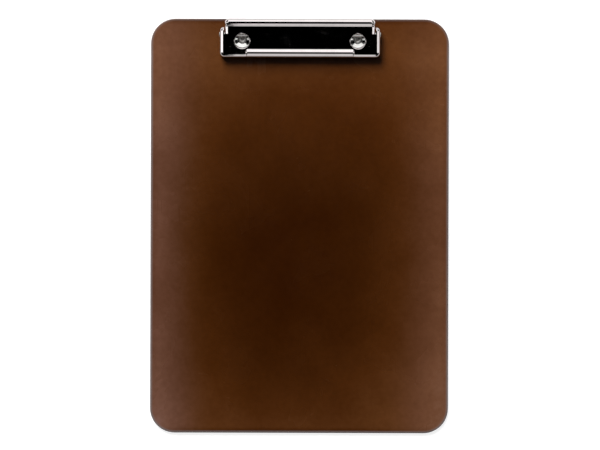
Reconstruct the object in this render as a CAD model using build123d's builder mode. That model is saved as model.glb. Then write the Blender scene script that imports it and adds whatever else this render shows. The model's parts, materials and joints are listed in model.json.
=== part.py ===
from build123d import *
import math
import os

os.makedirs("parts", exist_ok=True)

# Letter-size clipboard with a low-profile lever clip, lying on its back with its face up.
# +X runs across the board, +Y towards the clip end, +Z out of the writing face.
# The origin is the centre of the board's underside. All dimensions are in millimetres.

# Board
board_width = 228.6
board_length = 317.5
board_thickness = 3.0
board_corner_radius = 19.05
board_edge_radius = 0.9

# Clamp lever: a sheet-metal hood. "Depth" is a distance down from the board's clip end.
sheet = 0.9
lever_width = 122.6
lever_height = 9.0
jaw_gap = 0.3
jaw_depth = 30.0
shoulder_depth = 7.0
front_corner_radius = 3.6
shoulder_corner_radius = 2.8
bend_radius = 2.6
skirt_gap = 1.0
jaw_foot_length = 2.0
jaw_foot_slope = 1.5
heel_bevel_length = 8.0

# Thumb lip of the lever
lip_width = 115.2
lip_depth = 0.4
lip_rise = 1.2
lip_corner_radius = 3.8
lip_edge_radius = 2.6
lip_skirt = 2.5
lip_lap = 0.6
slope_foot_depth = 6.25
slope_head_depth = 5.05
slope_foot_radius = 1.2
slope_head_radius = 2.8
notch_depth = 12.2
notch_width = 0.6

# Pressed details of the deck
rib_length = 83.4
rib_rise = 0.7
rib_foot_depth = 24.35
rib_head_depth = 25.35
rib_foot_radius = 1.4
rib_head_radius = 2.4
rib_front_radius = 3.3
rib_end_radius = 1.3
access_diameter = 11.2
access_depth = 17.6
access_edge_radius = 0.6

# Hinge
pivot_depth = 12.5
pivot_height = 4.9
pin_diameter = 3.0
pin_clearance = 0.05
pin_head_diameter = 4.4
pin_head_height = 0.5
pin_head_edge_radius = 0.4
opening_angle = 30.0

# Base plate
base_sheet = 1.0
base_width = 118.6
base_flat_width = 112.0
base_rear_depth = 3.0
base_front_depth = 24.5
base_corner_radius = 2.0
ear_radius = 2.3
ear_edge_radius = 2.2
ear_bend_radius = 0.8
dish_seat_radius = 3.6
dish_crest_radius = 7.0
dish_foot_radius = 8.4
dish_rise = 1.1
dish_outer_roll = 1.6
dish_inner_roll = 0.6

# Semi-tubular rivets and their back washers
rivet_spacing = 88.4
rivet_depth = 15.6
rivet_shank_radius = 2.2
rivet_bore_radius = 1.1
rivet_bore_floor = 1.6
rivet_clinch_radius = 3.1
rivet_clinch_height = 1.1
rivet_roll_radius = 0.9
rivet_head_radius = 3.6
rivet_head_height = 0.75
rivet_edge_radius = 0.5
rivet_hole_radius = 2.3
washer_radius = 4.5
washer_thickness = 0.5
recess_radius = 5.25
recess_depth = 1.4

# Torsion springs
wire_diameter = 1.1
coil_radius = 2.3
coil_pitch = 1.2
coil_turns = 7.5
leg_slope = 7.7
spring_offset = 22.0
upper_leg_length = 6.5
lower_leg_length = 7.0

# How far cutting forms reach past what they cut, and how close two positions count as one
overcut = 5.0
near = 0.01

# Positions that follow from the dimensions above
end_y = board_length / 2
face_z = board_thickness
deck_top = face_z + lever_height
deck_bottom = deck_top - sheet
pivot_y = end_y - pivot_depth
pivot_z = face_z + pivot_height
shoulder_y = end_y - shoulder_depth
jaw_y = end_y - jaw_depth
notch_y = end_y - notch_depth
rivet_y = end_y - rivet_depth


# Board: flat plate with rounded corners, softened edges and two recessed rivet holes.
with BuildPart() as board:
    with BuildSketch(Plane.XY):
        RectangleRounded(board_width, board_length, board_corner_radius)
    extrude(amount=board_thickness)
    outline = board.faces().filter_by(Axis.Z).edges()
    fillet(outline, board_edge_radius)
    with Locations((0, rivet_y)):
        with GridLocations(rivet_spacing, 0, 2, 1):
            Cylinder(rivet_hole_radius, 4 * board_thickness, mode=Mode.SUBTRACT)
            Cylinder(recess_radius, 2 * recess_depth, mode=Mode.SUBTRACT)

board.part.label = "board"
export_step(board.part, "parts/board.step")


# Clamp lever, deck and skirts: an open box form, made once for its outside and once for its inside.
def deck_form(inset):
    width = lever_width - 2 * inset
    front = jaw_y + inset
    rear = shoulder_y - inset
    with BuildPart() as form:
        with BuildSketch(Plane.XY.offset(face_z + jaw_gap - inset)):
            with Locations((0, (front + rear) / 2)):
                Rectangle(width, rear - front)
        extrude(amount=lever_height - jaw_gap)
        upright = form.edges().filter_by(Axis.Z)
        fillet(upright.group_by(Axis.Y)[0], front_corner_radius - inset)
        upright = form.edges().filter_by(Axis.Z)
        fillet(upright.group_by(Axis.Y)[-1], shoulder_corner_radius - inset)
        rim = form.faces().sort_by(Axis.Z)[-1].edges()
        fillet(rim, bend_radius - inset)
    return form.part


# Thumb lip: its side profile steps up from the deck, and its edges turn down all round.
def lip_profile(front_depth, low_z):
    foot = (end_y - slope_foot_depth, deck_top)
    head = (end_y - slope_head_depth, deck_top + lip_rise)
    with BuildSketch(Plane.YZ) as profile:
        with BuildLine():
            Polyline(
                (end_y - front_depth, deck_top),
                foot,
                head,
                (end_y - lip_depth, deck_top + lip_rise),
                (end_y - lip_depth, low_z),
                (end_y - front_depth, low_z),
                close=True,
            )
        make_face()
        corners = profile.vertices()
        fillet(corners.sort_by_distance((*foot, 0))[0], slope_foot_radius)
        corners = profile.vertices()
        fillet(corners.sort_by_distance((*head, 0))[0], slope_head_radius)
    return profile.sketch_local


def lip_form(inset, front_depth):
    half_width = lip_width / 2 - inset
    rear = end_y - lip_depth - inset
    with BuildPart() as form:
        with BuildSketch(Plane.YZ):
            add(lip_profile(front_depth + inset, face_z))
            if inset > 0:
                offset(amount=-inset, kind=Kind.INTERSECTION)
        extrude(amount=half_width, both=True)
        upright = form.edges().filter_by(Axis.Z).group_by(Axis.Y)[-1]
        fillet(upright, lip_corner_radius - inset)
        crown = []
        for edge in form.edges():
            middle = edge.center()
            at_side = abs(middle.X) > half_width - lip_corner_radius + inset
            at_rear = middle.Y > rear - near
            upright_edge = abs(edge.tangent_at(0.5).Z) > 0.95
            if middle.Z > deck_top - inset - near and (at_side or at_rear) and not upright_edge:
                crown.append(edge)
        fillet(crown, lip_edge_radius - inset)
    return form.part


lip_outside = lip_form(0, notch_depth + lip_lap)
lip_inside = lip_form(sheet, notch_depth + 3 * lip_lap)

with BuildPart() as lip:
    add(lip_outside)
    add(lip_inside, mode=Mode.SUBTRACT)
    with BuildSketch(Plane.YZ):
        with BuildLine():
            Polyline(
                (notch_y - overcut, deck_top - lip_skirt),
                (end_y - slope_foot_depth, deck_top - lip_skirt),
                (end_y - slope_head_depth, deck_top + lip_rise - lip_skirt),
                (end_y + overcut, deck_top + lip_rise - lip_skirt),
                (end_y + overcut, 0),
                (notch_y - overcut, 0),
                close=True,
            )
        make_face()
    extrude(amount=lip_width, both=True, mode=Mode.SUBTRACT)


# Front rib: the deck steps up before the jaw, and its front bend turns down from there.
def rib_form(inset):
    half_length = rib_length / 2 - inset
    top = deck_top + rib_rise
    foot = (end_y - rib_foot_depth, deck_top)
    head = (end_y - rib_head_depth, top)
    front = (jaw_y, top)
    with BuildSketch(Plane.YZ) as profile:
        with BuildLine():
            Polyline(
                (foot[0] + 2 * rib_foot_radius, deck_top),
                foot,
                head,
                front,
                (jaw_y, face_z + jaw_gap),
                (foot[0] + 2 * rib_foot_radius, face_z + jaw_gap),
                close=True,
            )
        make_face()
        for corner, radius in (
            (foot, rib_foot_radius),
            (head, rib_head_radius),
            (front, rib_front_radius),
        ):
            corners = profile.vertices()
            fillet(corners.sort_by_distance((*corner, 0))[0], radius)
    with BuildPart() as form:
        with BuildSketch(Plane.YZ):
            add(profile.sketch_local)
            if inset > 0:
                offset(amount=-inset, kind=Kind.INTERSECTION)
        extrude(amount=half_length, both=True)
        ends = form.edges().filter_by(
            lambda edge: abs(edge.center().X) > half_length - near
            and edge.center().Z > deck_top - inset - near
        )
        fillet(ends, rib_end_radius - inset)
    return form.part


deck_outside = deck_form(0)
deck_inside = deck_form(sheet)
rib_outside = rib_form(0)
rib_inside = rib_form(sheet)

# The skirts stop short of the board, and behind the pivot they rise along a bevel that
# lies flat over the board when the lever is fully open.
lever_reach = pivot_height - jaw_gap
opening = math.radians(opening_angle)
heel = (lever_reach - (pivot_height - skirt_gap) * math.cos(opening)) / math.sin(opening)
bevel_drop = (lever_reach - heel_bevel_length * math.sin(opening)) / math.cos(opening)
heel_y = pivot_y + heel_bevel_length
foot_y = jaw_y + jaw_foot_length

with BuildPart() as clamp_lever:
    add(deck_outside)
    add(rib_outside)
    add(deck_inside, mode=Mode.SUBTRACT)
    add(rib_inside, mode=Mode.SUBTRACT)
    with BuildSketch(Plane.XY):
        with Locations((0, notch_y)):
            Rectangle(
                lip_width + 2 * notch_width,
                2 * notch_depth,
                align=(Align.CENTER, Align.MIN),
            )
    extrude(amount=2 * deck_top, mode=Mode.SUBTRACT)
    with BuildSketch(Plane.YZ):
        with BuildLine():
            Polyline(
                (foot_y, 0),
                (foot_y, face_z + jaw_gap),
                (foot_y + jaw_foot_slope, face_z + skirt_gap),
                (pivot_y + heel, face_z + skirt_gap),
                (heel_y, pivot_z - bevel_drop),
                (heel_y, 0),
                close=True,
            )
        make_face()
    extrude(amount=lever_width, both=True, mode=Mode.SUBTRACT)
    add(lip.part)
    with Locations((0, end_y - access_depth, deck_bottom)):
        with GridLocations(rivet_spacing, 0, 2, 1):
            Cylinder(access_diameter / 2, 4 * sheet, mode=Mode.SUBTRACT)
    hole_rims = clamp_lever.edges().filter_by(GeomType.CIRCLE)
    hole_rims = hole_rims.filter_by(lambda rim: abs(rim.radius - access_diameter / 2) < near)
    fillet(hole_rims.group_by(Axis.Z)[-1], access_edge_radius)
    with Locations(Plane((0, pivot_y, pivot_z), x_dir=(0, 1, 0), z_dir=(1, 0, 0))):
        Cylinder(pin_diameter / 2, 2 * lever_width, mode=Mode.SUBTRACT)

clamp_lever.part.label = "clamp_lever"
export_step(clamp_lever.part, "parts/clamp_lever.step")


# Hinge pin: a straight rod, headed over the outside of both skirts.
with BuildPart() as hinge_pin:
    pin_axis = Plane((0, pivot_y, pivot_z), x_dir=(0, 1, 0), z_dir=(1, 0, 0))
    with BuildSketch(pin_axis):
        Circle(pin_diameter / 2)
    extrude(amount=lever_width / 2, both=True)
    for direction in (-1, 1):
        head_plane = Plane(
            (direction * lever_width / 2, pivot_y, pivot_z),
            x_dir=(0, 1, 0),
            z_dir=(direction, 0, 0),
        )
        with BuildSketch(head_plane):
            Circle(pin_head_diameter / 2)
        extrude(amount=pin_head_height)
    fillet(hinge_pin.faces().sort_by(Axis.X)[0].edges(), pin_head_edge_radius)
    fillet(hinge_pin.faces().sort_by(Axis.X)[-1].edges(), pin_head_edge_radius)

hinge_pin.part.label = "hinge_pin"
export_step(hinge_pin.part, "parts/hinge_pin.step")


# Base plate: flat on the board, with a rounded ear bent up at each end for the pin. Round each
# rivet it is pressed up into a shallow dish, and the sheet keeps its thickness there.
def dish_ring(floor_z, depth, roll):
    with BuildPart() as ring:
        with BuildSketch(Plane.XZ) as section:
            with BuildLine():
                Polyline(
                    (dish_seat_radius, floor_z - depth),
                    (dish_seat_radius, floor_z),
                    (dish_crest_radius, floor_z + dish_rise),
                    (dish_foot_radius, floor_z),
                    (dish_foot_radius, floor_z - depth),
                    close=True,
                )
            make_face()
            fillet(section.vertices().group_by(Axis.Y)[-1], roll)
        revolve(axis=Axis.Z)
    return ring.part


dish_top = dish_ring(face_z + base_sheet, base_sheet / 2, dish_outer_roll)
dish_hollow = dish_ring(face_z, base_sheet, dish_inner_roll)

with BuildPart() as base_plate:
    with BuildSketch(Plane.XY.offset(face_z)):
        with Locations((0, end_y - (base_rear_depth + base_front_depth) / 2)):
            RectangleRounded(base_flat_width, base_front_depth - base_rear_depth, base_corner_radius)
    extrude(amount=base_sheet)
    for side_x in (-rivet_spacing / 2, rivet_spacing / 2):
        add(dish_top.moved(Location((side_x, rivet_y, 0))))
        add(dish_hollow.moved(Location((side_x, rivet_y, 0))), mode=Mode.SUBTRACT)
    ear_top = pivot_z + ear_radius
    half_width = base_width / 2
    inner_half = half_width - base_sheet
    with BuildSketch(Plane.XZ.offset(-(pivot_y + ear_radius))) as strap:
        with BuildLine():
            Polyline(
                (-half_width, ear_top),
                (-half_width, face_z),
                (half_width, face_z),
                (half_width, ear_top),
                (inner_half, ear_top),
                (inner_half, face_z + base_sheet),
                (-inner_half, face_z + base_sheet),
                (-inner_half, ear_top),
                close=True,
            )
        make_face()
        corners = strap.vertices().group_by(Axis.Y)
        fillet(corners[0], ear_bend_radius + base_sheet)
        corners = strap.vertices().filter_by_position(
            Axis.Y, face_z + base_sheet - near, face_z + base_sheet + near
        )
        fillet(corners, ear_bend_radius)
    extrude(amount=2 * ear_radius)
    ear_corners = base_plate.edges().filter_by(Axis.X).group_by(Axis.Z)[-1]
    fillet(ear_corners, ear_edge_radius)
    with Locations(Plane((0, pivot_y, pivot_z), x_dir=(0, 1, 0), z_dir=(1, 0, 0))):
        Cylinder(pin_diameter / 2 + pin_clearance, 2 * base_width, mode=Mode.SUBTRACT)
    with Locations((0, rivet_y, face_z)):
        with GridLocations(rivet_spacing, 0, 2, 1):
            Cylinder(rivet_hole_radius, 4 * base_sheet, mode=Mode.SUBTRACT)

base_plate.part.label = "base_plate"
export_step(base_plate.part, "parts/base_plate.step")


# Torsion springs: a coil round the pin, the lower leg along the base plate and the
# upper leg under the lip. One is wound in its own frame, its axis along Z and its first
# leg square to X, then placed; the other is its mirror image. The coil is a row of equal
# lengths of wire, each a little under half a turn.
coil_length = (coil_turns - leg_slope / 360) * coil_pitch
span_count = int(2 * coil_turns)
span_length = coil_length / span_count
span_turn = -360 * span_length / coil_pitch

with BuildPart() as wire_span:
    with BuildLine() as span_line:
        span_helix = Helix(coil_pitch, span_length, coil_radius, lefthand=True)
    with BuildSketch(Plane(origin=span_helix @ 0, z_dir=span_helix % 0)):
        Circle(wire_diameter / 2)
    sweep(path=span_line.wires()[0])

with BuildPart() as spring_form:
    for k in range(span_count):
        turned = Location((0, 0, k * span_length), (0, 0, k * span_turn))
        add(wire_span.part.moved(turned))
    with BuildSketch(Plane(origin=span_helix @ 0, z_dir=-(span_helix % 0))):
        Circle(wire_diameter / 2)
    extrude(amount=lower_leg_length)
    last_span = Location(
        (0, 0, (span_count - 1) * span_length), (0, 0, (span_count - 1) * span_turn)
    )
    coil_end = Plane(origin=span_helix @ 1, z_dir=span_helix % 1)
    with BuildSketch(Plane(last_span * coil_end.location)):
        Circle(wire_diameter / 2)
    extrude(amount=upper_leg_length)

leg_angle = math.radians(leg_slope)
coil_frame = Plane(
    (spring_offset - coil_length / 2, pivot_y, pivot_z),
    x_dir=(0, -math.sin(leg_angle), -math.cos(leg_angle)),
    z_dir=(1, 0, 0),
)

with BuildPart() as spring_right:
    add(spring_form.part.moved(coil_frame.location))

spring_right.part.label = "spring_right"
export_step(spring_right.part, "parts/spring_right.step")

with BuildPart() as spring_left:
    add(spring_right.part.mirror(Plane.YZ))

spring_left.part.label = "spring_left"
export_step(spring_left.part, "parts/spring_left.step")


# Semi-tubular rivet: its solid head lies in the board's recess on the back washer, and its
# hollow end is rolled outwards over the base plate, with a blind bore down its middle.
washer_low = recess_depth - washer_thickness
clinch_seat = face_z + base_sheet
clinch_top = clinch_seat + rivet_clinch_height

with BuildPart() as rivet_form:
    with BuildSketch(Plane.XZ) as section:
        with BuildLine():
            Polyline(
                (0, washer_low - rivet_head_height),
                (rivet_head_radius, washer_low - rivet_head_height),
                (rivet_head_radius, washer_low),
                (rivet_shank_radius, washer_low),
                (rivet_shank_radius, clinch_seat),
                (rivet_clinch_radius, clinch_seat),
                (rivet_clinch_radius, clinch_top),
                (rivet_bore_radius, clinch_top),
                (rivet_bore_radius, rivet_bore_floor),
                (0, rivet_bore_floor),
                close=True,
            )
        make_face()
        fillet(section.vertices().group_by(Axis.Y)[-1], rivet_roll_radius)
        rim = section.vertices().group_by(Axis.Y)[0].sort_by(Axis.X)[-1]
        fillet(rim, rivet_edge_radius)
    revolve(axis=Axis.Z)

with BuildPart() as washer_form:
    with BuildSketch(Plane.XY.offset(washer_low)):
        Circle(washer_radius)
        Circle(rivet_hole_radius, mode=Mode.SUBTRACT)
    extrude(amount=washer_thickness)

for side, side_x in (("left", -rivet_spacing / 2), ("right", rivet_spacing / 2)):
    seat = Location((side_x, rivet_y, 0))

    with BuildPart() as rivet:
        add(rivet_form.part.moved(seat))
    rivet.part.label = "rivet_" + side
    export_step(rivet.part, "parts/rivet_" + side + ".step")

    with BuildPart() as washer:
        add(washer_form.part.moved(seat))
    washer.part.label = "washer_" + side
    export_step(washer.part, "parts/washer_" + side + ".step")
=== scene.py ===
import json
import math

import bpy
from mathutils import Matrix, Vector


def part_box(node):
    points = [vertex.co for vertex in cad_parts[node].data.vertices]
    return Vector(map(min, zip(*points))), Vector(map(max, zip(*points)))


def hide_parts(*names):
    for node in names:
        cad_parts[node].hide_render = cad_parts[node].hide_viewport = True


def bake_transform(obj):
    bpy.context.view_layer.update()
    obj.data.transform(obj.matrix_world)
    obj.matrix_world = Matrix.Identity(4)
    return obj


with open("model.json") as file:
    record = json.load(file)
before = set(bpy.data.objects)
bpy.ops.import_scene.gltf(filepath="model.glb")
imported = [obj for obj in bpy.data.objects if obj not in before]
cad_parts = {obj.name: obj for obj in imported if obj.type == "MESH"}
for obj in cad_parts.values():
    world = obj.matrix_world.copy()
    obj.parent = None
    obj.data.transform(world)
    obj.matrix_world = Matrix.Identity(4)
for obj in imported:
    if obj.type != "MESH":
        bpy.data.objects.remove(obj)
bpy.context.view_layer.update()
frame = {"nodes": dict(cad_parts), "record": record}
nodes = frame["nodes"]
scene = bpy.context.scene
scene.view_settings.view_transform = "Standard"

MM = 0.001
board_low, board_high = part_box("board")
face_z = board_high.z


# ---------------------------------------------------------------- node helpers
class Graph:
    """Short calls for building one material's nodes."""

    def __init__(self, name):
        self.material = bpy.data.materials.new(name)
        self.material.use_nodes = True
        self.tree = self.material.node_tree
        self.tree.nodes.clear()
        self.output = self.tree.nodes.new("ShaderNodeOutputMaterial")
        self.shader = self.tree.nodes.new("ShaderNodeBsdfPrincipled")
        self.link(self.shader.outputs[0], self.output.inputs["Surface"])
        coords = self.tree.nodes.new("ShaderNodeTexCoord")
        self.place = coords.outputs["Object"]

    def link(self, source, target):
        if isinstance(source, (int, float, tuple, list)):
            target.default_value = source
        else:
            self.tree.links.new(source, target)

    def math(self, operation, a, b=0.0):
        n = self.tree.nodes.new("ShaderNodeMath")
        n.operation = operation
        self.link(a, n.inputs[0])
        self.link(b, n.inputs[1])
        return n.outputs[0]

    def axes(self):
        n = self.tree.nodes.new("ShaderNodeSeparateXYZ")
        self.link(self.place, n.inputs[0])
        return n.outputs

    def scaled(self, scale, turn=(0, 0, 0)):
        n = self.tree.nodes.new("ShaderNodeMapping")
        self.link(self.place, n.inputs["Vector"])
        n.inputs["Scale"].default_value = scale
        n.inputs["Rotation"].default_value = turn
        return n.outputs[0]

    def noise(self, scale, detail, rough, vector=None, distort=0.0):
        n = self.tree.nodes.new("ShaderNodeTexNoise")
        self.link(vector or self.place, n.inputs["Vector"])
        n.inputs["Scale"].default_value = scale
        n.inputs["Detail"].default_value = detail
        n.inputs["Roughness"].default_value = rough
        n.inputs["Distortion"].default_value = distort
        return n.outputs["Fac"]

    def ramp(self, factor, stops):
        n = self.tree.nodes.new("ShaderNodeValToRGB")
        self.link(factor, n.inputs[0])
        band = n.color_ramp
        while len(band.elements) < len(stops):
            band.elements.new(0.5)
        for element, (position, colour) in zip(band.elements, stops):
            element.position = position
            element.color = (*colour, 1.0)
        return n.outputs[0]

    def span(self, value, a, b, c, d):
        """value from a..b mapped smoothly to c..d."""
        n = self.tree.nodes.new("ShaderNodeMapRange")
        n.interpolation_type = "SMOOTHSTEP"
        for socket, x in zip(n.inputs, (value, a, b, c, d)):
            self.link(x, socket)
        return n.outputs[0]

    def mix(self, factor, a, b, kind="MIX"):
        n = self.tree.nodes.new("ShaderNodeMix")
        n.data_type = "RGBA"
        n.blend_type = kind
        self.link(factor, n.inputs["Factor"])
        self.link(a, n.inputs[6])
        self.link(b, n.inputs[7])
        return n.outputs[2]

    def bump(self, height, distance, strength, under=None):
        n = self.tree.nodes.new("ShaderNodeBump")
        n.inputs["Distance"].default_value = distance
        n.inputs["Strength"].default_value = strength
        self.link(height, n.inputs["Height"])
        if under is not None:
            self.link(under, n.inputs["Normal"])
        return n.outputs[0]

    def set(self, **sockets):
        names = {
            "colour": "Base Color",
            "metal": "Metallic",
            "rough": "Roughness",
            "normal": "Normal",
            "spec": "Specular IOR Level",
        }
        for key, value in sockets.items():
            self.link(value, self.shader.inputs[names[key]])
        return self.material


def dress(node, material):
    for s in nodes[node].material_slots:
        s.material = material


# ---------------------------------------------------------------- board plastic
corner_radius = 19.05 * MM
middle_paleness = 0.0225
ramp_scale = 5.0


def board_plastic():
    """Smoke brown with a fine matte skin. Painted shade makes it darkest at the middle, and painted
    light through its edges makes it paler towards the rim.
    """
    g = Graph("smoke_brown_plastic")
    x, y, _ = g.axes()

    # u runs from -1 to 1 across the board and v from -1 to 1 along it, up to the clip end.
    u = g.math("DIVIDE", x, board_high.x)
    v = g.math("DIVIDE", y, board_high.y)
    across = g.math("ABSOLUTE", u)
    along = g.math("ABSOLUTE", v)

    def term(base, power, weight):
        return g.math("MULTIPLY", g.math("POWER", base, power), weight)

    # How pale the plastic is, with painted light: painted shade darkens the middle and painted light
    # glowing through the edges makes it paler towards the rim. These weights were fitted to the board's
    # colours in the photograph, some then changed, and the ramp below was read from averages of the same
    # colours. So both also hold the light that was on the board.
    pale_with_painted_light = g.math("ADD", term(across, 1.5, 0.0098), term(across, 4.0, 0.0770))
    pale_with_painted_light = g.math("ADD", pale_with_painted_light, term(along, 1.5, 0.0307))
    pale_with_painted_light = g.math("ADD", pale_with_painted_light, term(along, 4.0, 0.0260))
    pale_with_painted_light = g.math("SUBTRACT", pale_with_painted_light, g.math("MULTIPLY", term(across, 2.0, 0.0158), v))
    pale_with_painted_light = g.math("SUBTRACT", pale_with_painted_light, g.math("MULTIPLY", g.math("MULTIPLY", u, v), 0.0060))
    pale_with_painted_light = g.math("ADD", pale_with_painted_light, g.math("MULTIPLY", v, 0.0152))
    pale_with_painted_light = g.math("ADD", pale_with_painted_light, g.math("MULTIPLY", u, 0.0032))
    pale_with_painted_light = g.math("ADD", pale_with_painted_light, middle_paleness)

    # Painted shade: the paleness falls off again close to the outline, and most of all at the clip end.
    rim_shade = g.math("MAXIMUM", g.span(across, 0.93, 1.0, 0.0, 0.022), g.span(along, 0.965, 1.0, 0.0, 0.034))
    pale_with_painted_light = g.math("SUBTRACT", pale_with_painted_light, rim_shade)
    pale_with_painted_light = g.math("SUBTRACT", pale_with_painted_light, g.span(v, 0.80, 1.0, 0.0, 0.032))

    # Faint clouds and mottling in the moulding.
    cloud = g.noise(22.0, 4.0, 0.6)
    mottle = g.noise(260.0, 3.0, 0.6)
    pale_with_painted_light = g.math("MULTIPLY", pale_with_painted_light, g.span(cloud, 0.25, 0.75, 0.88, 1.12))
    pale_with_painted_light = g.math("MULTIPLY", pale_with_painted_light, g.span(mottle, 0.25, 0.75, 0.93, 1.07))
    tint = g.ramp(
        g.math("MULTIPLY", pale_with_painted_light, ramp_scale),
        [
            (0.09, (0.018, 0.0039, 0.0)),
            (0.13, (0.026, 0.0066, 0.0006)),
            (0.25, (0.050, 0.0148, 0.0035)),
            (0.42, (0.084, 0.0305, 0.0128)),
            (0.62, (0.124, 0.0505, 0.0245)),
            (0.90, (0.180, 0.0880, 0.0550)),
        ],
    )

    # The tint is richest down the middle, warmer towards the clip end, most of all on the right,
    # and greyer along the left side.
    inner = g.span(across, 0.55, 0.85, 1.0, 0.0)
    tint = g.mix(inner, tint, (1.0, 0.93, 0.60, 1.0), "MULTIPLY")
    warm = g.math("MULTIPLY", g.span(v, 0.15, 0.65, 0.0, 1.0), g.span(u, -0.7, 0.7, 0.15, 1.0))
    tint = g.mix(warm, tint, (0.98, 0.90, 0.68, 1.0), "MULTIPLY")
    cool = g.math("MULTIPLY", g.span(u, -0.85, -0.55, 1.0, 0.0), g.span(v, 0.3, 0.8, 1.0, 0.3))
    tint = g.mix(cool, tint, (1.0, 1.10, 1.42, 1.0), "MULTIPLY")

    # A painted reflection: a thin grey line all round the outline, where the plastic's edge mirrors the
    # bright surroundings, fainter at the clip end.
    def past_corner(coordinate, half):
        beyond = g.math("SUBTRACT", g.math("ABSOLUTE", coordinate), half - corner_radius)
        return g.math("MAXIMUM", beyond, 0.0)

    past_x = past_corner(x, board_high.x)
    past_y = past_corner(y, board_high.y)
    spread = g.math("ADD", g.math("POWER", past_x, 2.0), g.math("POWER", past_y, 2.0))
    inset = g.math("SUBTRACT", corner_radius, g.math("SQRT", spread))
    edge_line = g.span(inset, 0.3 * MM, 2.4 * MM, 1.0, 0.0)
    painted_edge_reflection = g.math("MULTIPLY", edge_line, g.span(v, 0.80, 1.0, 0.85, 0.35))
    tint = g.mix(painted_edge_reflection, tint, (0.155, 0.132, 0.128, 1.0))

    # The skin: a fine grain, light smudges and a few hair scratches.
    grain = g.noise(5200.0, 2.0, 0.6)
    scratch = g.noise(1.0, 2.0, 0.5, vector=g.scaled((900.0, 14.0, 900.0), turn=(0, 0, 0.35)))
    hair = g.span(scratch, 0.66, 0.74, 0.0, 1.0)
    smudge = g.noise(24.0, 3.0, 0.6, distort=0.6)
    rough = g.math("ADD", g.span(smudge, 0.3, 0.75, 0.23, 0.29), g.math("MULTIPLY", hair, -0.04))
    normal = g.bump(grain, 0.02 * MM, 0.3)
    normal = g.bump(mottle, 0.03 * MM, 0.2, normal)
    return g.set(colour=tint, rough=rough, normal=normal, spec=0.2)


# ---------------------------------------------------------------- metals
ring_pitch = 0.18 * MM


def bright_chrome():
    """Mirror chrome with handling smudges, fine hairlines and a little orange peel."""
    g = Graph("bright_chrome")
    smudge = g.noise(70.0, 4.0, 0.6, distort=0.8)
    swirl = g.noise(1.0, 2.0, 0.5, vector=g.scaled((60.0, 2600.0, 2600.0), turn=(0, 0, 0.06)))
    hair = g.span(swirl, 0.66, 0.72, 0.0, 1.0)
    rough = g.math("ADD", g.span(smudge, 0.45, 0.8, 0.025, 0.09), g.math("MULTIPLY", hair, 0.05))
    tint = g.mix(g.span(smudge, 0.35, 0.8, 0.0, 1.0), (0.89, 0.825, 0.82, 1.0), (0.82, 0.76, 0.755, 1.0))
    peel = g.noise(420.0, 2.0, 0.5)
    normal = g.bump(peel, 0.01 * MM, 0.25)
    return g.set(colour=tint, metal=1.0, rough=rough, normal=normal)


def drawn_metal(name, colour, dark, low, high):
    """Metal drawn lengthwise, blotched from colour to dark, with roughness from low to high."""
    g = Graph(name)
    drawn = g.noise(1.0, 3.0, 0.6, vector=g.scaled((90.0, 5200.0, 5200.0)))
    blotch = g.noise(190.0, 4.0, 0.65)
    tint = g.mix(g.span(blotch, 0.35, 0.75, 0.0, 0.8), (*colour, 1.0), (*dark, 1.0))
    rough = g.math("ADD", g.span(blotch, 0.3, 0.8, low, high), g.math("MULTIPLY", drawn, 0.08))
    normal = g.bump(drawn, 0.01 * MM, 0.5)
    return g.set(colour=tint, metal=1.0, rough=rough, normal=normal)


def turned_nickel(name, centre):
    """Dull nickel with fine turning rings about centre."""
    g = Graph(name)
    x, y, _ = g.axes()
    dx = g.math("SUBTRACT", x, centre.x)
    dy = g.math("SUBTRACT", y, centre.y)
    radius = g.math("SQRT", g.math("ADD", g.math("MULTIPLY", dx, dx), g.math("MULTIPLY", dy, dy)))
    rings = g.math("SINE", g.math("MULTIPLY", radius, 2 * math.pi / ring_pitch))
    blotch = g.noise(600.0, 3.0, 0.6)
    tint = g.mix(g.span(blotch, 0.4, 0.8, 0.0, 0.7), (0.90, 0.88, 0.85, 1.0), (0.70, 0.67, 0.62, 1.0))
    rough = g.math("ADD", g.span(blotch, 0.3, 0.8, 0.22, 0.34), g.math("MULTIPLY", rings, 0.02))
    normal = g.bump(rings, 0.002 * MM, 0.6)
    return g.set(colour=tint, metal=0.5, rough=rough, normal=normal)


plate = drawn_metal("plated_steel", (0.84, 0.83, 0.81), (0.70, 0.69, 0.66), 0.06, 0.12)
wire = drawn_metal("spring_wire", (0.40, 0.40, 0.41), (0.22, 0.21, 0.20), 0.26, 0.40)
dress("board", board_plastic())
dress("clamp_lever", bright_chrome())
for name in ("base_plate", "hinge_pin", "washer_left", "washer_right"):
    dress(name, plate)
for name in ("rivet_left", "rivet_right"):
    low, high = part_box(name)
    dress(name, turned_nickel(name + "_nickel", (low + high) / 2))


# ---------------------------------------------------------------- springs
# The coil sits round the pin. Each spring is one round tube with softly rounded cut ends, and the
# CAD spring it stands in for is hidden.
hinge = frame["record"]["behaviour"]["joints"][0]
pivot = Vector(hinge["pos_m"])
wire_radius = 0.55 * MM
coil_radius = 2.3 * MM
coil_pitch = 1.2 * MM
coil_turns = 7.5
leg_slope = math.radians(7.7)
coil_sweep = coil_turns * 2 * math.pi - leg_slope
lower_leg = 7.0 * MM
upper_leg = 6.5 * MM
coil_steps = 280
leg_steps = 8
cut_end_length = 0.3
cut_end_size = 0.72


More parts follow.
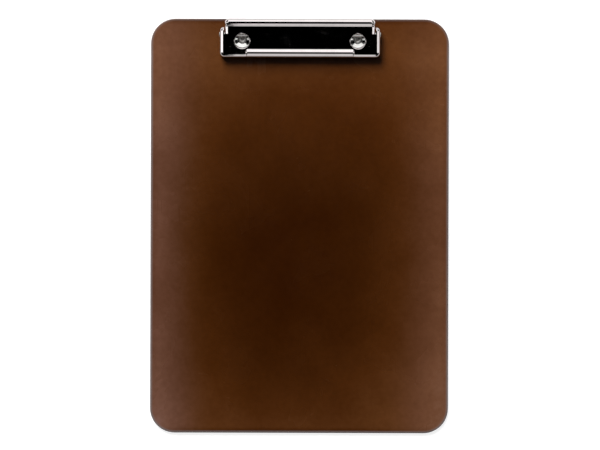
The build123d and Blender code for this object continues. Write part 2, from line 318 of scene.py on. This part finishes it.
def spring_path():
    """Centreline of the right-hand spring about the pivot, with the coil's middle at x = 0."""
    down = Vector((0, -math.sin(leg_slope), -math.cos(leg_slope)))
    back = Vector((0, math.cos(leg_slope), -math.sin(leg_slope)))
    rise = coil_pitch / (2 * math.pi)
    shift = Vector((-coil_sweep * rise / 2, 0, 0))

    def on_coil(t):
        ring = down * math.cos(t) - back * math.sin(t)
        return ring * coil_radius + Vector((rise * t, 0, 0)) + shift

    def heading(t):
        ring = -down * math.sin(t) - back * math.cos(t)
        return (ring * coil_radius + Vector((rise, 0, 0))).normalized()

    start = on_coil(0)
    end = on_coil(coil_sweep)
    points = [start - heading(0) * lower_leg * (1 - k / leg_steps) for k in range(leg_steps)]
    points += [on_coil(coil_sweep * k / coil_steps) for k in range(coil_steps + 1)]
    points += [end + heading(coil_sweep) * upper_leg * (k / leg_steps) for k in range(1, leg_steps + 1)]
    return points


def tube(name, points, radius, sides=14):
    """A round wire along points, with softly rounded cut ends."""
    first = (points[1] - points[0]).normalized()
    last = (points[-1] - points[-2]).normalized()
    stations = [(points[0], first, cut_end_size)]
    stations.append((points[0] + first * radius * cut_end_length, first, 1.0))
    for k in range(1, len(points) - 1):
        stations.append((points[k], (points[k + 1] - points[k - 1]).normalized(), 1.0))
    stations.append((points[-1] - last * radius * cut_end_length, last, 1.0))
    stations.append((points[-1], last, cut_end_size))
    verts = []
    faces = []
    side = first.orthogonal().normalized()
    for place, way, size in stations:
        side = (side - way * side.dot(way)).normalized()
        other = way.cross(side)
        for k in range(sides):
            angle = 2 * math.pi * k / sides
            outward = side * math.cos(angle) + other * math.sin(angle)
            verts.append(place + outward * radius * size)
    for row in range(len(stations) - 1):
        for k in range(sides):
            a = row * sides + k
            b = row * sides + (k + 1) % sides
            faces.append((a, b, b + sides, a + sides))
    faces.append(tuple(reversed(range(sides))))
    faces.append(tuple(range(len(verts) - sides, len(verts))))
    mesh = bpy.data.meshes.new(name)
    mesh.from_pydata(verts, [], faces)
    for polygon in mesh.polygons:
        polygon.use_smooth = len(polygon.vertices) == 4
    mesh.update()
    wire_body = bpy.data.objects.new(name, mesh)
    scene.collection.objects.link(wire_body)
    return wire_body


for side, hand in (("left", -1), ("right", 1)):
    low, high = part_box("spring_" + side)
    middle = Vector(((low.x + high.x) / 2, pivot.y, pivot.z))
    line = [middle + Vector((hand * p.x, p.y, p.z)) for p in spring_path()]
    spring = tube("wire_spring_" + side, line, wire_radius)
    spring.data.materials.append(wire)
    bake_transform(spring)
    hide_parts("spring_" + side)


# ---------------------------------------------------------------- floor and light
floor_reach = 30.0
floor_z = -0.2 * MM
floor_glow = 0.84
sky_greys = ((0.0, 0.95), (0.12, 0.36), (0.45, 0.0))


def plain_floor():
    """A pale, faintly glowing table. It shows from above only, so the underside can be looked at too."""
    mesh = bpy.data.meshes.new("floor")
    outline = [(-floor_reach, -floor_reach), (floor_reach, -floor_reach)]
    outline += [(floor_reach, floor_reach), (-floor_reach, floor_reach)]
    mesh.from_pydata([(x, y, floor_z) for x, y in outline], [], [(0, 1, 2, 3)])
    floor = bpy.data.objects.new("floor", mesh)
    scene.collection.objects.link(floor)
    g = Graph("pale_floor")
    speck = g.noise(40.0, 3.0, 0.5)
    tint = g.mix(g.span(speck, 0.3, 0.7, 0.0, 1.0), (0.31, 0.31, 0.31, 1.0), (0.29, 0.29, 0.29, 1.0))
    g.set(colour=tint, rough=0.8, spec=0.0)
    g.shader.inputs["Emission Color"].default_value = (1.0, 1.0, 1.0, 1.0)
    g.shader.inputs["Emission Strength"].default_value = floor_glow
    clear = g.tree.nodes.new("ShaderNodeBsdfTransparent")
    side_seen = g.tree.nodes.new("ShaderNodeNewGeometry")
    either = g.tree.nodes.new("ShaderNodeMixShader")
    g.link(side_seen.outputs["Backfacing"], either.inputs[0])
    g.link(g.shader.outputs[0], either.inputs[1])
    g.link(clear.outputs[0], either.inputs[2])
    g.link(either.outputs[0], g.output.inputs["Surface"])
    mesh.materials.append(g.material)
    floor.visible_diffuse = False
    floor.visible_glossy = False
    floor.visible_shadow = False


def softbox(name, target, lean, turn, distance, width, height, radiance):
    """An area light aimed at target from lean degrees off straight up, turn degrees clockwise from +Y.

    Its power is set so that its face has the given radiance whatever its size.
    """
    lamp = bpy.data.lights.new(name, "AREA")
    lamp.shape = "RECTANGLE"
    lamp.size = width
    lamp.size_y = height
    lamp.energy = 4.0 * width * height * radiance
    box = bpy.data.objects.new(name, lamp)
    scene.collection.objects.link(box)
    lean = math.radians(lean)
    turn = math.radians(turn)
    way = Vector((math.sin(turn) * math.sin(lean), math.cos(turn) * math.sin(lean), math.cos(lean)))
    box.location = Vector(target) + way * distance
    box.rotation_euler = (-way).to_track_quat("-Z", "Y").to_euler()
    return box


def reflector(name, target, lean, turn, distance, width, height, radiance):
    """A soft panel that the metal mirrors and that lights nothing else."""
    panel = softbox(name, target, lean, turn, distance, width, height, radiance)
    panel.visible_diffuse = False


def studio_world():
    """Pale near the horizon and below it, dark overhead, so flat metal seen from above mirrors dark.

    The backdrop behind the object is plain white.
    """
    world = bpy.data.worlds.new("studio")
    scene.world = world
    world.use_nodes = True
    tree = world.node_tree
    tree.nodes.clear()
    out = tree.nodes.new("ShaderNodeOutputWorld")
    back = tree.nodes.new("ShaderNodeBackground")
    coords = tree.nodes.new("ShaderNodeTexCoord")
    split = tree.nodes.new("ShaderNodeSeparateXYZ")
    ramp = tree.nodes.new("ShaderNodeValToRGB")
    tree.links.new(coords.outputs["Generated"], split.inputs[0])
    tree.links.new(split.outputs[2], ramp.inputs[0])
    band = ramp.color_ramp
    band.elements.new(0.5)
    for element, (height, grey) in zip(band.elements, sky_greys):
        element.position = height
        element.color = (grey, grey, grey, 1.0)
    tree.links.new(ramp.outputs[0], back.inputs["Color"])
    seen = tree.nodes.new("ShaderNodeBackground")
    seen.inputs["Color"].default_value = (1.0, 1.0, 1.0, 1.0)
    direct = tree.nodes.new("ShaderNodeLightPath")
    either = tree.nodes.new("ShaderNodeMixShader")
    tree.links.new(direct.outputs["Is Camera Ray"], either.inputs[0])
    tree.links.new(back.outputs[0], either.inputs[1])
    tree.links.new(seen.outputs[0], either.inputs[2])
    tree.links.new(either.outputs[0], out.inputs["Surface"])


plain_floor()
studio_world()
clip_low, clip_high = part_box("clamp_lever")
clip = (clip_low + clip_high) / 2

# The key lights everything and the metal doesn't mirror it. The four reflectors are what the
# chrome's bends mirror: one behind for the lip and the rib, one each side, one in front. They
# are placed for the view from straight above.
key = softbox("key", (0, 0.06, 0), 48, -24, 3.0, 1.7, 1.7, 16.3)
key.visible_glossy = False
reflector("panel_back", clip, 41, 0, 2.0, 1.7, 2.35, 0.9)
reflector("strip_left", clip + Vector((0, 0.12, 0)), 43, -90, 1.5, 0.2, 1.5, 1.15)
reflector("strip_right", clip + Vector((0, 0.12, 0)), 43, 90, 1.5, 0.2, 1.5, 0.78)
reflector("strip_front", clip + Vector((0.024, 0, 0)), 47.5, 180, 1.5, 0.24, 1.5, 0.5)


# ---------------------------------------------------------------- camera
# Straight above the face, the clip end up, with a long lens.
camera_height = 1.8
view_width = 0.4601
aim_x = 0.4 * MM
aim_y = 0.75 * MM
roll = math.radians(0.17)
lens = bpy.data.cameras.new("camera")
lens.sensor_width = 36.0
lens.lens = lens.sensor_width * camera_height / view_width
lens.clip_start = 0.05
lens.clip_end = 50.0
camera = bpy.data.objects.new("camera", lens)
scene.collection.objects.link(camera)
camera.location = (aim_x, aim_y, face_z + camera_height)
camera.rotation_euler = (0.0, 0.0, roll)
scene.camera = camera
